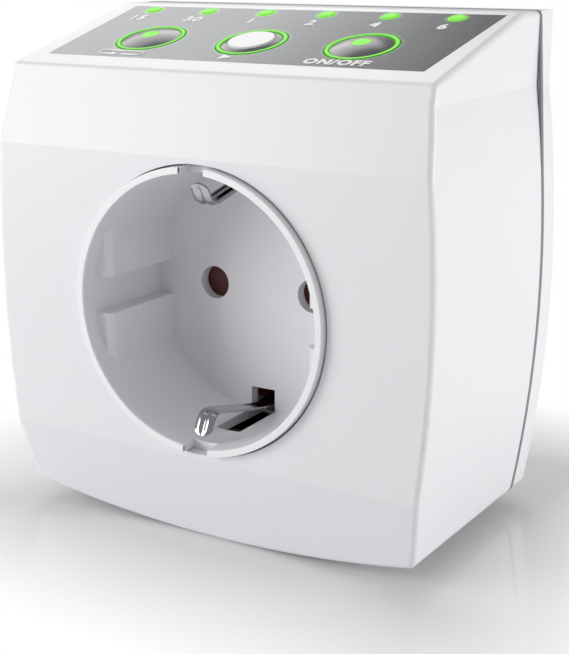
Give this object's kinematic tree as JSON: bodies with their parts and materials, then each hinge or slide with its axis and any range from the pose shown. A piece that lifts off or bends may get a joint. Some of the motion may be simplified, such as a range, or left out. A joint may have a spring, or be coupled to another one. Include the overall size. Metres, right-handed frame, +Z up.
{
  "type": "plug-in timer switch",
  "caption": "Plug-in countdown timer: an earthed socket in a bowed white casing, a sloping panel with lit keys on top, and a round earthed plug on the back.",
  "frame": {"origin": "bottom centre of the bounding box, on the surface that the timer stands on", "axes": "+X to the right seen from the front, +Y from the socket towards the plug pins, +Z up"},
  "size_m": [0.0802, 0.0834, 0.0835],
  "materials": {
    "casing": "satin moulded white",
    "insert": "satin moulded white",
    "label": "metallic grey film",
    "key_dark": "gloss",
    "key_light": "satin",
    "light_green": "translucent, lit",
    "shutter_red": "moulded",
    "carrier_red": "moulded",
    "circuit_board": "solder mask",
    "black_part": "moulded",
    "blue_part": "moulded",
    "yellow_part": "moulded",
    "glass_part": "clear",
    "ribbon": "satin",
    "spring_steel": "bright",
    "plated_brass": "nickel plated",
    "brass": "bright",
    "screw_steel": "zinc plated"
  },
  "bodies": {
    "casing": {"front_housing": "casing", "rear_cover": "casing", "socket_insert": "insert", "socket_floor": "insert", "plug_body": "casing", "label_overlay": "label", "led_lenses": "light_green", "panel_leds": "light_green", "control_board": "circuit_board", "controller_chip": "black_part", "board_screws": "screw_steel", "tact_switches": "black_part", "shutter_spring": "spring_steel", "contact_carrier": "carrier_red", "line_contact": "brass", "neutral_contact": "brass", "earth_bus": "plated_brass", "rear_earth_top": "plated_brass", "rear_earth_bottom": "plated_brass", "plug_pin_left": "plated_brass", "plug_pin_right": "plated_brass", "neutral_bus": "brass", "supply_bus": "brass", "switched_bus": "brass", "power_board": "circuit_board", "relay": "black_part", "dropper_capacitor": "yellow_part", "smoothing_capacitor": "black_part", "varistor": "blue_part", "fuse_link": "glass_part", "board_link": "ribbon", "housing_screws": "screw_steel", "insert_screws": "screw_steel", "light_ring_repeat": "light_green", "light_ring_start": "light_green", "light_ring_onoff": "light_green"},
    "key_repeat": {"button_repeat": "key_dark", "plunger_repeat": "black_part", "key_light_repeat": "light_green"},
    "key_start": {"button_start": "key_dark", "plunger_start": "black_part", "start_cap": "key_light"},
    "key_onoff": {"button_onoff": "key_dark", "plunger_onoff": "black_part", "key_light_onoff": "light_green"},
    "shutter_body": {"shutter": "shutter_red"},
    "earth_clip_top_body": {"earth_clip_top": "spring_steel"},
    "earth_clip_bottom_body": {"earth_clip_bottom": "spring_steel"}
  },
  "joints": [
    {"name": "press_repeat", "type": "slide", "parent": "casing", "child": "key_repeat", "axis": [0, 0.2727, -0.9621], "range_m": [0, 0.0006], "stiffness_N_per_m": 300},
    {"name": "press_start", "type": "slide", "parent": "casing", "child": "key_start", "axis": [0, 0.2727, -0.9621], "range_m": [0, 0.0006], "stiffness_N_per_m": 300},
    {"name": "press_onoff", "type": "slide", "parent": "casing", "child": "key_onoff", "axis": [0, 0.2727, -0.9621], "range_m": [0, 0.0006], "stiffness_N_per_m": 300},
    {"name": "shutter_turn", "type": "hinge", "parent": "casing", "child": "shutter_body", "pos_m": [0, -0.0196, 0.0386], "axis": [0, 1, 0], "range_deg": [0, 40], "stiffness_Nm_per_rad": 0.002},
    {"name": "earth_flex_top", "type": "hinge", "parent": "casing", "child": "earth_clip_top_body", "pos_m": [0, -0.01575, 0.0578], "axis": [-1, 0, 0], "range_deg": [0, 3], "stiffness_Nm_per_rad": 0.02},
    {"name": "earth_flex_bottom", "type": "hinge", "parent": "casing", "child": "earth_clip_bottom_body", "pos_m": [0, -0.01575, 0.0194], "axis": [1, 0, 0], "range_deg": [0, 3], "stiffness_Nm_per_rad": 0.02}
  ]
}
